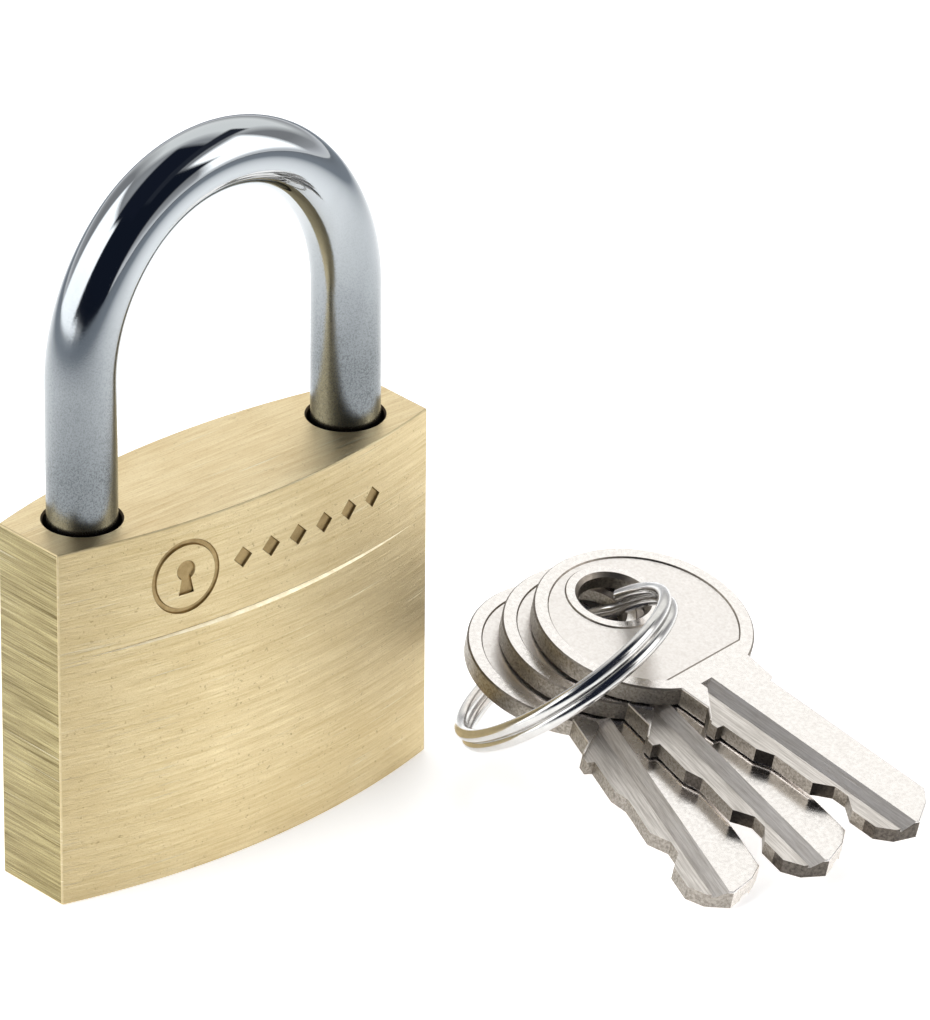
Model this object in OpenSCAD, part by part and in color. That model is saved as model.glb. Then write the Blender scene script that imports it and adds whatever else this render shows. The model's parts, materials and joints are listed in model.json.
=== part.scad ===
// Brass padlock with a swing shackle, pin cylinder, two bolts and three keys on a split ring.
// Origin: centre of the underside of the body. +X to the toe leg, -Y is the marked front, +Z up.
// Rest position: plug turned to open, bolts drawn in, shackle still pushed fully down.

/* [Body] */
// Width of the body
body_w = 40; // [39:0.5:50]
// Height of the body
body_h = 32.5; // [32:0.5:40]
// Thickness of the body at its flat ends
end_t = 7.5; // [7:0.1:10]
// Thickness of the body at its middle
mid_t = 13.3; // [12.8:0.1:17]
// Drop of the front's scribed line below the top
line_drop = 9.9; // [6:0.1:15]
// Depth of the scribed line at the middle of the front
line_depth = 0.22; // [0.15:0.01:0.8]
// Half length of the scribed line, measured across the body
line_reach = 18; // [10:0.5:18.5]
// Radius of the engraved ring of the plain keyhole mark
mark_r = 3.3; // [2:0.1:3.5]
// Sideways place of the mark on the front
mark_x = -8.4; // [-10:0.1:10]
// Number of engraved lozenges beside the mark
lozenges = 6; // [0:1:7]
// Spacing of the lozenges
lozenge_pitch = 3; // [2:0.1:3.2]
// Height and width of a lozenge
lozenge_size = 1.9; // [1:0.1:2]
// Depth of the engraved mark, beyond the deepest point of the curved face in it
mark_depth = 0.15; // [0.1:0.05:0.3]

/* [Shackle] */
// Diameter of the shackle bar
bar_d = 5.9; // [5:0.1:6.2]
// Spacing of the two legs, centre to centre
leg_gap = 28.5; // [27:0.1:30]
// Length of the straight leg above the body
leg_rise = 12.2; // [8:0.1:30]
// Rise of the bow's centre line above the straight legs
bow_rise = 15.8; // [15.2:0.1:18]
// Angle taken by each side arc of the bow
side_arc = 45; // [35:1:55]
// Radial clearance of a leg in its hole
leg_clear = 0.32; // [0.1:0.01:0.4]
// How far the shackle lifts
lift = 11.4; // [10.5:0.1:12]
// Clearance of the lifted toe leg above the body
toe_clear = 0.5; // [0.2:0.1:1]
// Height of the collar below the heel leg's flat
collar_h = 2.9; // [2:0.1:4]
// Gap left between that collar and the heel bolt at full lift
collar_clear = 0.2; // [0.1:0.05:0.5]
// Depth of the heel hole's floor above the underside
heel_floor = 2.5; // [1.5:0.1:4]
// Room below the toe leg
toe_room = 1.1; // [0.5:0.1:2]

/* [Bolts] */
// Height of the bolts' centre line
bolt_z = 25.5; // [25:0.1:26.5]
// Radius of each bolt
bolt_r = 1.9; // [1.6:0.05:2]
// Travel of each bolt
bolt_travel = 1.6; // [1.2:0.1:1.8]
// Gap between the drawn-in toe bolt and the toe leg
nose_gap = 0.1; // [0.05:0.05:0.3]
// How far the drawn-in heel bolt still reaches into the heel leg's flat
heel_hold = 0.5; // [0.3:0.1:0.8]
// Gap between a bolt's nose and the notch it enters
notch_gap = 0.2; // [0.1:0.05:0.4]
// Radius of a bolt's cam pin
cam_pin_r = 0.6; // [0.5:0.05:0.7]
// Half length of a bolt's tail past the middle
tail_reach = 2.6; // [2.2:0.1:3]
// Distance of a bolt's shoulder from the middle
shoulder_x = 5; // [4.6:0.1:6]
// Length of the plug that closes the bolts' bore
bore_plug_len = 2; // [1.5:0.1:2.4]

/* [Cylinder] */
// Radius of the cylinder plug
plug_r = 5; // [4.8:0.05:5.4]
// How far the plug's face is set in from the underside
plug_inset = 0.3; // [0.1:0.05:0.6]
// Height of the plug's upper end
plug_top = 19.6; // [19.4:0.1:20]
// Height of the first pin above the plug's face
first_pin = 3.5; // [3:0.1:4]
// Spacing of the pins
pin_pitch = 2.9; // [2.7:0.05:3]
// Radius of the pins
pin_r = 1.2; // [1:0.05:1.25]
// Length of each driver pin
driver_len = 4; // [3:0.1:5]
// Length of the caps that close the pin chambers
cap_len = 2.5; // [1.5:0.1:4]
// Radial running clearance of plug, pins and bolts in their bores
run_clear = 0.05; // [0.03:0.01:0.08]
// Radial allowance left around a pressed-in piece
press_clear = 0.01; // [0.01:0.005:0.02]
// Thickness of the cam's disc
cam_t = 1.55; // [1:0.05:2]
// Radius of the cam's disc
cam_r = 3.6; // [3.4:0.1:4.2]
// Radius of the pin that holds the plug in
keeper_r = 0.55; // [0.4:0.05:0.6]

/* [Keys] */
// Radius of a key's round head
head_r = 9.5; // [8:0.1:12]
// Radius of the hole in the head
hole_r = 3; // [2.9:0.1:3.6]
// Distance of the hole's centre behind the head's centre
hole_back = 3.5; // [3:0.1:4.5]
// Thickness of a key
key_t = 1.8; // [1.6:0.05:2]
// Distance from the head's centre to the blade's stop
stop_u = 12.9; // [12:0.1:16]
// Length of the blade from stop to tip
blade_len = 19; // [18.5:0.1:19]
// Distance of the blade's plain back from the key's centre line
back_v = 2.8; // [2.4:0.1:3]
// Depth of the raised rim and boss on the head
emboss = 0.12; // [0.05:0.01:0.2]
// Distance from the centre line to the cut at the first pin
cut_1 = 4.8; // [3:0.05:4.8]
// Distance from the centre line to the cut at the second pin
cut_2 = 4.15; // [3:0.05:4.8]
// Distance from the centre line to the cut at the third pin
cut_3 = 4.2; // [3:0.05:4.8]
// Distance from the centre line to the cut at the fourth pin
cut_4 = 3; // [3:0.05:4.8]
// Distance from the centre line to the cut at the fifth pin
cut_5 = 4.15; // [3:0.05:4.8]
// Clearance of a key in the keyway, each side
keyway_clear = 0.15; // [0.1:0.01:0.2]

/* [Loose bunch beside the lock] */
// Radius of the split ring's wire
wire_r = 0.58; // [0.4:0.02:0.6]
// Radius of the split ring's centre line
ring_r = 10.2; // [9.5:0.1:12]
// Lean of the split ring from flat
ring_tilt = 35.1; // [34:0.1:38]
// Direction the split ring's axis leans to
ring_dir = 122.5; // [118:0.1:128]
// Where the top key sits on the split ring, in degrees from the wire's highest point above the keys
first_pass = 90; // [84:1:95]
// Lean of the keys from flat
fan_tilt = 13.6; // [12:0.1:15]
// Direction the keys' axis leans to
fan_dir = -87.8; // [-92:0.1:-84]

/* [Hidden] */
$fn = 72;
tiny = 0.01;

// body faces: arcs through the middle and both ends
face_sag = (mid_t - end_t) / 2;
face_r = (pow(body_w / 2, 2) + pow(face_sag, 2)) / (2 * face_sag);
function face_y(x) = face_r - mid_t / 2 - sqrt(face_r * face_r - x * x);

// scribed line: an arc of larger radius that runs out of the face at its two ends
line_sag = face_y(line_reach) + mid_t / 2 - line_depth;
line_r = (pow(line_reach, 2) + pow(line_sag, 2)) / (2 * line_sag);
line_z = body_h - line_drop;
mark_z = body_h - line_drop / 2;

// shackle
bar_r = bar_d / 2;
leg_x = leg_gap / 2;
hole_bore_r = bar_r + leg_clear;
side_turn = (bow_rise - leg_x) / (sin(side_arc) + cos(side_arc) - 1);
side_bow_r = leg_x + side_turn * cos(side_arc);
top_bow_r = side_bow_r - side_turn;
bow_z = body_h + leg_rise;
toe_end = body_h + toe_clear - lift;
collar_top = bolt_z - bolt_r - collar_clear - lift;
heel_end = collar_top - collar_h;
leg_chamfer = 0.5;
hair = 0.01;

// bolts
leg_face = leg_x - bar_r;
toe_nose = leg_face - nose_gap;
heel_nose = leg_face + heel_hold;
toe_notch = toe_nose + bolt_travel + notch_gap;
heel_notch = heel_nose + bolt_travel + notch_gap;
heel_flat = heel_nose + notch_gap;
notch_h = bolt_r + notch_gap;
cam_arm = bolt_travel / sqrt(2);
cam_pin_x = cam_arm * cos(45);
cam_slot_clear = 0.1;
tail_gap = 0.04;
bolt_spring_r = 0.8;
spring_gap = 0.05;

// cylinder
bore_r = plug_r + run_clear;
chamber_r = pin_r + run_clear;
cuts = [cut_1, cut_2, cut_3, cut_4, cut_5];
back_x = -back_v - 1;
pin_outer = plug_r - 0.25;
driver_inner = plug_r + 0.08;
keyway_half = key_t / 2 + keyway_clear;
keyway_low = back_x - keyway_clear;
keyway_high = back_x + back_v + 4.8 + keyway_clear;
chamber_low = back_x + back_v + 1.6;
pin_point = 0.4;
cap_in = body_w / 2 - cap_len;
cam_z = plug_top + run_clear;
cam_room = 0.2;
dog_r = 0.5;
dog_y = 3.2;
dog_h = 1;
keeper_z = plug_top - 1.7;
keeper_room = 0.1;

// keys and ring
pin_flat = 0.7;
key_gap = 0.15;
rim_w = 1.2;
boss_w = 1.1;
rim_chamfer = 0.35;
neck_u = 6.9;
coil_lap = 0.1;
ring_at = [25.2, -15.6, 11];
key_turn = [4, -7.8, -18.2];
// the keys lie in parallel planes, one key and a gap apart, and the wire runs through the middle of each hole
ring_u = [cos(ring_tilt) * cos(ring_dir), cos(ring_tilt) * sin(ring_dir), -sin(ring_tilt)];
ring_v = [-sin(ring_dir), cos(ring_dir), 0];
fan_n = [sin(fan_tilt) * cos(fan_dir), sin(fan_tilt) * sin(fan_dir), cos(fan_tilt)];
climb_u = ring_u * fan_n;
climb_v = ring_v * fan_n;
climb = ring_r * sqrt(climb_u * climb_u + climb_v * climb_v);
function pass(i) = atan2(climb_v, climb_u) + acos(cos(first_pass) - i * (key_t + key_gap) / climb);
function key_hole_at(i) = ring_at + ring_r * (cos(pass(i)) * ring_u + sin(pass(i)) * ring_v);

function pin_z(i) = plug_inset + first_pin + i * pin_pitch;
function pin_u(i) = stop_u + first_pin + i * pin_pitch;
function pin_inner(i) = back_x + back_v + cuts[i];

// a bar along X from a to b
module bar_x(r, a, b) {
    translate([a, 0, 0])
        rotate([0, 90, 0])
            cylinder(r = r, h = b - a);
}

// a spring of square wire, drawn as quarter turns that each step up by less than the wire
module coil(outer_r, wire, length, turns) {
    quarters = turns * 4;
    step = (length - wire) / (quarters - 1);
    for (i = [0 : quarters - 1])
        rotate([0, 0, i * 90])
            translate([0, 0, i * step])
                rotate_extrude(angle = 94)
                    translate([outer_r - wire, 0])
                        square(wire);
}

module body_plan() {
    intersection() {
        translate([0, face_r - mid_t / 2])
            circle(r = face_r, $fn = 720);
        translate([0, mid_t / 2 - face_r])
            circle(r = face_r, $fn = 720);
        square([body_w, mid_t + 2], center = true);
    }
}

module scribed_line() {
    half_w = 1.4 * line_depth;
    translate([0, line_r - mid_t / 2 + line_depth, line_z])
        rotate([0, 0, -115])
            rotate_extrude(angle = 50, $fn = 720)
                polygon([[line_r, 0], [line_r + 2 * half_w, half_w * 2], [line_r + 2 * half_w, -half_w * 2]]);
}

// sinks a flat outline of half width half_w into the front at x, to mark_depth below its deepest edge
module engraved(x, half_w) {
    translate([x, face_y(abs(x) + half_w) + mark_depth, mark_z])
        rotate([90, 0, 0])
            linear_extrude(mid_t)
                children();
}

// plain ring with a keyhole in it, and a row of lozenges beside it
module keyhole_mark() {
    engraved(mark_x, mark_r)
        difference() {
            circle(r = mark_r);
            circle(r = mark_r - 0.45);
        }
    engraved(mark_x, 1) {
        translate([0, 0.55])
            circle(r = 0.85);
        polygon([[-0.35, 0.3], [0.35, 0.3], [0.75, -1.6], [-0.75, -1.6]]);
    }
    for (i = [0 : lozenges - 1])
        engraved(mark_x + mark_r + lozenge_pitch * (i + 0.8), lozenge_size / 2)
            rotate([0, 0, 45])
                square(lozenge_size / sqrt(2), center = true);
}

module lock_body() {
    color([0.86, 0.76, 0.52])
    difference() {
        linear_extrude(body_h)
            body_plan();
        scribed_line();
        keyhole_mark();
        // leg holes
        translate([-leg_x, 0, heel_floor])
            cylinder(r = hole_bore_r, h = body_h);
        translate([leg_x, 0, toe_end - toe_room])
            cylinder(r = hole_bore_r, h = body_h);
        // bore of the cylinder, the cam's room above it, and the cam pins' way up
        translate([0, 0, -1])
            cylinder(r = bore_r, h = plug_top + run_clear + 1);
        translate([0, 0, plug_top])
            cylinder(r = cam_r + cam_room, h = cam_t + cam_room + run_clear);
        translate([0, 0, plug_top])
            cylinder(r = cam_arm + cam_pin_r + cam_room, h = bolt_z - plug_top);
        // bore of the bolts, drilled in from the toe end
        translate([0, 0, bolt_z])
            bar_x(bolt_r + run_clear, -leg_x, body_w / 2 + 1);
        // pin chambers, drilled in from the toe end
        for (i = [0 : 4])
            translate([0, 0, pin_z(i)])
                bar_x(chamber_r, plug_r - 0.5, body_w / 2 + 1);
        // hole of the keeper pin, drilled in from the back
        translate([-plug_r, -3, keeper_z])
            rotate([-90, 0, 0])
                cylinder(r = keeper_r + press_clear, h = mid_t);
    }
}

module shackle_leg(x, foot) {
    translate([x, 0, foot + leg_chamfer])
        cylinder(r = bar_r, h = bow_z - foot - leg_chamfer);
    translate([x, 0, foot])
        cylinder(r1 = bar_r - leg_chamfer, r2 = bar_r, h = leg_chamfer);
}

// each stretch of the bow is a hair thinner than the one it joins
module bow_arc(centre_x, centre_z, r, from, sweep, thinner) {
    translate([centre_x, 0, centre_z])
        rotate([90, 0, 0])
            rotate_extrude(angle = sweep, start = from, $fn = 96)
                translate([r, 0])
                    circle(r = bar_r - thinner, $fn = 48);
}

module shackle() {
    color([0.80, 0.81, 0.83])
    difference() {
        union() {
            shackle_leg(-leg_x, heel_end);
            shackle_leg(leg_x, toe_end);
            bow_arc(side_bow_r - leg_x, bow_z, side_bow_r, 180 - side_arc, side_arc, hair);
            bow_arc(leg_x - side_bow_r, bow_z, side_bow_r, 0, side_arc, hair);
            bow_arc(0, bow_z + side_turn * sin(side_arc), top_bow_r, side_arc, 180 - 2 * side_arc, 2 * hair);
        }
        // notches for the bolts' noses
        translate([leg_x - bar_r - 1, -bar_d, bolt_z - notch_h])
            cube([toe_notch - leg_face + 1, 2 * bar_d, 2 * notch_h]);
        translate([-heel_notch, -bar_d, bolt_z - notch_h])
            cube([heel_notch - leg_face + 1, 2 * bar_d, 2 * notch_h]);
        // flat that runs down the heel leg to its collar
        translate([-heel_flat, -bar_d, collar_top])
            cube([heel_flat - leg_face + 1, 2 * bar_d, bolt_z - collar_top]);
    }
}

module shackle_spring() {
    color([0.55, 0.56, 0.58])
    translate([-leg_x, 0, heel_floor + spring_gap])
        coil(bar_r - 0.35, 0.6, heel_end - heel_floor - 2 * spring_gap, 4);
}

// a bolt that points along +X: nose, shoulder, and a half-round tail on the +Y side
module bolt(nose, slot_x) {
    translate([0, 0, bolt_z])
        difference() {
            union() {
                bar_x(bolt_r, shoulder_x, nose - 0.4);
                translate([nose - 0.4, 0, 0])
                    rotate([0, 90, 0])
                        cylinder(r1 = bolt_r, r2 = bolt_r - 0.4, h = 0.4);
                intersection() {
                    bar_x(bolt_r, -tail_reach, shoulder_x + 1);
                    translate([-tail_reach - 1, tail_gap, -bolt_r - 1])
                        cube([tail_reach + shoulder_x + 3, bolt_r + 1, 2 * bolt_r + 2]);
                }
            }
            translate([slot_x - cam_pin_r - cam_slot_clear, -bolt_r - 1, -bolt_r - 1])
                cube([2 * (cam_pin_r + cam_slot_clear), 2 * bolt_r + 2, bolt_r + 1]);
        }
}

module toe_bolt() {
    color([0.72, 0.72, 0.70])
    bolt(toe_nose, -cam_pin_x);
}

module heel_bolt() {
    color([0.72, 0.72, 0.70])
    rotate([0, 0, 180])
        bolt(heel_nose, -cam_pin_x);
}

module bolt_spring() {
    translate([tail_reach + spring_gap, -(bolt_r + tail_gap) / 2, bolt_z])
        rotate([0, 90, 0])
            coil(bolt_spring_r, 0.3, shoulder_x - tail_reach - 2 * spring_gap, 3);
}

module toe_bolt_spring() {
    color([0.55, 0.56, 0.58])
    bolt_spring();
}

module heel_bolt_spring() {
    color([0.55, 0.56, 0.58])
    rotate([0, 0, 180])
        bolt_spring();
}

module bolt_bore_plug() {
    color([0.84, 0.74, 0.50])
    translate([0, 0, bolt_z])
        bar_x(bolt_r + run_clear - press_clear, body_w / 2 - bore_plug_len, body_w / 2);
}

// everything in the plug is drawn with the pins towards +X and then turned a quarter to the open position
module in_open_position() {
    rotate([0, 0, 90])
        children();
}

module cylinder_plug() {
    color([0.83, 0.72, 0.47])
    in_open_position()
        difference() {
            translate([0, 0, plug_inset])
                cylinder(r = plug_r, h = plug_top - plug_inset);
            translate([keyway_low, -keyway_half, plug_inset - 1])
                cube([keyway_high - keyway_low, 2 * keyway_half, plug_top]);
            for (i = [0 : 4])
                translate([0, 0, pin_z(i)])
                    bar_x(chamber_r, chamber_low, plug_r + 1);
            // ring groove for the keeper pin
            translate([0, 0, keeper_z - keeper_r - keeper_room])
                difference() {
                    cylinder(r = plug_r + 1, h = 2 * (keeper_r + keeper_room));
                    translate([0, 0, -1])
                        cylinder(r = plug_r - keeper_r - keeper_room, h = 2 * keeper_r + 3);
                }
            for (s = [-1, 1])
                translate([0, s * dog_y, plug_top - dog_h - keeper_room])
                    cylinder(r = dog_r + run_clear, h = dog_h + 1);
        }
}

module bolt_cam() {
    color([0.70, 0.69, 0.66])
    union() {
        translate([0, 0, cam_z])
            cylinder(r = cam_r, h = cam_t);
        for (s = [-1, 1])
            translate([s * dog_y, 0, plug_top - dog_h])
                cylinder(r = dog_r, h = dog_h + cam_t / 2);
        for (turn = [135, 315])
            rotate([0, 0, turn])
                translate([cam_arm, 0, cam_z + cam_t / 2])
                    cylinder(r = cam_pin_r, h = bolt_z - 0.2 - cam_z - cam_t / 2);
    }
}

module plug_keeper_pin() {
    color([0.70, 0.70, 0.70])
    translate([-plug_r, -3 + tiny, keeper_z])
        rotate([-90, 0, 0])
            cylinder(r = keeper_r, h = 3 - tiny - face_y(plug_r + keeper_r) - 0.1);
}

module pin_chamber_caps() {
    color([0.84, 0.74, 0.50])
    for (i = [0 : 4])
        translate([0, 0, pin_z(i)])
            bar_x(chamber_r - press_clear, cap_in, body_w / 2);
}

module key_pin(i) {
    color([0.80, 0.66, 0.38])
    in_open_position()
        translate([pin_inner(i), 0, pin_z(i)])
            rotate([0, 90, 0]) {
                cylinder(r1 = pin_r - pin_point, r2 = pin_r, h = pin_point);
                translate([0, 0, pin_point])
                    cylinder(r = pin_r, h = pin_outer - pin_inner(i) - pin_point);
            }
}

module driver_pin(i) {
    color([0.78, 0.78, 0.78])
    translate([0, 0, pin_z(i)])
        bar_x(pin_r, driver_inner, driver_inner + driver_len);
}

module pin_spring(i) {
    color([0.55, 0.56, 0.58])
    translate([driver_inner + driver_len + spring_gap, 0, pin_z(i)])
        rotate([0, 90, 0])
            coil(pin_r - 0.1, 0.4, cap_in - driver_inner - driver_len - 2 * spring_gap, 6);
}

module key_pin_1() { key_pin(0); }
module key_pin_2() { key_pin(1); }
module key_pin_3() { key_pin(2); }
module key_pin_4() { key_pin(3); }
module key_pin_5() { key_pin(4); }
module driver_pin_1() { driver_pin(0); }
module driver_pin_2() { driver_pin(1); }
module driver_pin_3() { driver_pin(2); }
module driver_pin_4() { driver_pin(3); }
module driver_pin_5() { driver_pin(4); }
module pin_spring_1() { pin_spring(0); }
module pin_spring_2() { pin_spring(1); }
module pin_spring_3() { pin_spring(2); }
module pin_spring_4() { pin_spring(3); }
module pin_spring_5() { pin_spring(4); }

// outline of the blade and neck; u runs from the head's centre to the tip, v towards the plain back
function blade_outline() =
    let (tip = stop_u + blade_len)
    concat(
        [[0, back_v + 1], [stop_u - 4.4, back_v + 1], [stop_u - 1.1, back_v + 0.5],
         [stop_u - 0.8, back_v], [tip - 2.6, back_v], [tip - 1.3, back_v - 1.3], [tip, -0.9],
         [tip - 0.7, -3], [tip - 2, -cuts[4]]],
        [for (i = [4 : -1 : 0]) each [[pin_u(i) + pin_flat, -cuts[i]], [pin_u(i) - pin_flat, -cuts[i]]]],
        [[stop_u + 0.5, -4.8], [stop_u + 0.4, -5.5], [stop_u - 0.5, -5.5],
         [stop_u - 1.6, -4.5], [0, -4.5]]);

module key_blank() {
    tip = stop_u + blade_len;
    groove_from = stop_u - 4.1;
    difference() {
        translate([0, 0, -key_t])
            union() {
                cylinder(r = head_r, h = key_t, $fn = 128);
                linear_extrude(key_t)
                    polygon(blade_outline());
            }
        // hole with its two rims eased
        translate([-hole_back, 0, -key_t - 1])
            cylinder(r = hole_r, h = key_t + 2);
        translate([-hole_back, 0, -rim_chamfer])
            cylinder(r1 = hole_r, r2 = hole_r + 2 * rim_chamfer, h = 2 * rim_chamfer);
        translate([-hole_back, 0, -key_t - rim_chamfer])
            cylinder(r1 = hole_r + 2 * rim_chamfer, r2 = hole_r, h = 2 * rim_chamfer);
        // sunk field between rim, boss and neck
        translate([0, 0, -emboss])
            linear_extrude(1)
                difference() {
                    circle(r = head_r - rim_w, $fn = 128);
                    translate([-hole_back, 0])
                        circle(r = hole_r + boss_w);
                    translate([neck_u, -head_r])
                        square(2 * head_r);
                }
        // lower flat of the blade and the slanted groove beside it
        translate([groove_from, -8, -0.4])
            cube([tip, 8 - 1.9, 1]);
        translate([groove_from, 0, 0])
            rotate([90, 0, 90])
                linear_extrude(tip)
                    polygon([[-1.2, 0.5], [-1.2, 0], [-2.4, -0.7], [-2.6, -0.7], [-2.6, 0.5]]);
        // groove on the other face
        translate([groove_from, 0.4, -key_t - 1])
            cube([tip, 1.1, 1.45]);
    }
}

module key_in_fan(i) {
    color([0.83, 0.80, 0.77])
    translate(key_hole_at(i))
        rotate([0, fan_tilt, fan_dir])
            rotate([0, 0, key_turn[i]])
                translate([hole_back, 0, key_t / 2])
                    key_blank();
}

module key_1() { key_in_fan(0); }
module key_2() { key_in_fan(1); }
module key_3() { key_in_fan(2); }

// two coils side by side, each with the gap where its wire ends
module split_ring() {
    color([0.75, 0.76, 0.77])
    translate(ring_at)
        rotate([0, ring_tilt, ring_dir])
            union()
                for (s = [-1, 1])
                    translate([0, 0, s * (wire_r - coil_lap / 2)])
                        rotate_extrude(angle = 354, start = 70 + s * 25, $fn = 128)
                            translate([ring_r, 0])
                                    circle(r = wire_r, $fn = 32);
}

lock_body();
shackle();
shackle_spring();
heel_bolt();
toe_bolt();
heel_bolt_spring();
toe_bolt_spring();
bolt_bore_plug();
cylinder_plug();
bolt_cam();
plug_keeper_pin();
pin_chamber_caps();
key_pin_1();
key_pin_2();
key_pin_3();
key_pin_4();
key_pin_5();
driver_pin_1();
driver_pin_2();
driver_pin_3();
driver_pin_4();
driver_pin_5();
pin_spring_1();
pin_spring_2();
pin_spring_3();
pin_spring_4();
pin_spring_5();
split_ring();
key_1();
key_2();
key_3();
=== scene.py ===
import json
from math import asin, cos, pi, radians, sin, sqrt

import bmesh
import bpy
from mathutils import Matrix, Vector


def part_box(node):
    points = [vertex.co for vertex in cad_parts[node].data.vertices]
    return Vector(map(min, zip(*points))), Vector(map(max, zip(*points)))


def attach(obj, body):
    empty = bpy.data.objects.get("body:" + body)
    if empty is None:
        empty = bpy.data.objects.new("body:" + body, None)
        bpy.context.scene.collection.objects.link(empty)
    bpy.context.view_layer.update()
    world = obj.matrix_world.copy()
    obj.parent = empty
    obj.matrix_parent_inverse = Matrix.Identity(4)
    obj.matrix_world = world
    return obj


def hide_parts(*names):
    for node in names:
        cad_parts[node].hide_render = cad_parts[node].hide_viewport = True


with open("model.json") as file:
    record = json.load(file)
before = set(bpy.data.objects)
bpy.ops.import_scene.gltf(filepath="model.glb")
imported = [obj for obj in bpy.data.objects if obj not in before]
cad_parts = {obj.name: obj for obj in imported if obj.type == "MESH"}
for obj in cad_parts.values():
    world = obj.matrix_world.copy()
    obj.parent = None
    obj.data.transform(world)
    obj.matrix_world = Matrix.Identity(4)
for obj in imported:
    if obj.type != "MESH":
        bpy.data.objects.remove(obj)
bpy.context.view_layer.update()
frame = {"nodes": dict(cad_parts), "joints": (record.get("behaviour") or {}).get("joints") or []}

# Shapes are drawn in millimetres and brought to metres when a piece is finished.
MM = 0.001
SCENE = bpy.context.scene

# ---------------------------------------------------------------- sizes

body_low, body_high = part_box("lock_body")
BODY_W = (body_high.x - body_low.x) / MM
BODY_H = (body_high.z - body_low.z) / MM
MID_T = (body_high.y - body_low.y) / MM
END_T = 7.5
FACE_SAG = (MID_T - END_T) / 2
FACE_R = ((BODY_W / 2) ** 2 + FACE_SAG ** 2) / (2 * FACE_SAG)
EDGE_EASE = 0.13

# the scribed line: how far it is below the top, how deep at its middle, and how far out it runs
LINE_DROP = 9.9
LINE_DEPTH = 0.22
LINE_REACH = 18

# the engraved mark: a ring with a keyhole in it, and a row of lozenges
MARK_X = -8.4
MARK_R = 3.3
MARK_DEPTH = 0.2
MARK_DRAFT = 0.5
LOZENGES = 6
LOZENGE_PITCH = 3
LOZENGE_HALF = 0.95

# the shackle: its bar and bow, where its two ends are, and the cuts into the inner side of its legs
BAR_R = 2.95
LEG_X = 14.25
LEG_CHAMFER = 0.5
BOW_Z = BODY_H + 12.2
BOW_RISE = 15.8
SIDE_ARC = 45
LIFT = 11.4
TOE_CLEAR = 0.5
HEEL_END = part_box("shackle")[0].z / MM
TOE_END = BODY_H + TOE_CLEAR - LIFT
COLLAR_TOP = 12.0
NOTCH_H = 2.1
TOE_NOTCH, HEEL_NOTCH, HEEL_FLAT = 1.7, 2.3, 0.7

# bores of the body: for the legs, and from the keyway up for the plug, its cam and the two bolts
LEG_HOLE_R = 3.27
HEEL_HOLE_FLOOR, TOE_HOLE_FLOOR = 2.5, 20.5
PLUG_BORE_R, PLUG_ROOM_TOP = 5.05, 19.65
CAM_BORE_R, CAM_ROOM_TOP = 3.8, 21.4
CAM_WAY_R = 1.93
BOLT_BORE_R, BOLT_Z = 1.95, 25.5
KEEPER_BORE_R = 0.56
KEEPER_X, KEEPER_Z = -5, 17.9

# the five pins, counted from the plug's face, which is also where a key's stop comes to
PLUG_INSET = 0.3
FIRST_PIN = 3.5
PIN_PITCH = 2.9
CHAMBER_R, CHAMBER_FLOOR = 1.25, 4.5

# the split ring; its wire starts at an angle, runs a flat turn, steps across and runs another
RING_AT = Vector((25.2, -15.6, 11))
RING_R = 10.2
WIRE_R = 0.58
COIL_LAP = 0.1
RING_TILT, RING_DIR = 35.1, 122.5
RING_START, RING_TURN, RING_STEP = 295, 325, 30

# a key is drawn flat: u runs along it from the head's centre, v across, and its upper face is at w = 0
HEAD_R = 9.5
KEY_HOLE_R = 3.0
HOLE_BACK = 3.5
KEY_T = 1.8
STOP_U = 12.9
TIP_U = STOP_U + 19
BACK_V = 2.8
EMBOSS = 0.12
FIELD_R = HEAD_R - 1.2
BORDER_LOW, BORDER_HIGH = 6.42, 7.38
BOSS_W = 1.1
HOLE_CHAMFER = 0.35
GROOVE_FROM = STOP_U - 4.1
PIN_CUTS = [4.8, 4.15, 4.2, 3, 4.15]
CUT_HALF = 0.7
FAN_TILT, FAN_DIR = 13.6, -87.8
KEY_TURNS = {"key_1": 4, "key_2": -7.8, "key_3": -18.2}

# each finish's slot, on the body and on a key, in the order that their finishes are listed
FRONT, END, TOP, EDGE, CUT, LINE_HIGHLIGHT, BORE = range(7)
KEY_FACE, KEY_FIELD, KEY_EDGE, KEY_MILLED, KEY_CUT, KEY_RIM = range(6)
MOST_SLOTS = BORE + 1


def face_y(x):
    """Front face of the body: the Y of its surface at x."""
    return FACE_R - MID_T / 2 - sqrt(FACE_R ** 2 - x ** 2)


# ---------------------------------------------------------------- camera, floor and light

def set_camera():
    """A long lens, to the left of the lock and a little above it."""
    data = bpy.data.cameras.new("studio_camera")
    data.lens = 315.967
    data.sensor_width = 36
    data.clip_start = 0.05
    data.clip_end = 60
    camera = bpy.data.objects.new("studio_camera", data)
    camera.location = (-0.425032, -0.497299, 0.369821)
    camera.rotation_euler = (radians(62.4386), radians(-0.4935), radians(-42.0626))
    SCENE.collection.objects.link(camera)
    SCENE.camera = camera


def node(tree, kind, **settings):
    """A new node of a material or a world, with its settings."""
    made = tree.nodes.new(kind)
    for key, value in settings.items():
        setattr(made, key, value)
    return made


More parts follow.
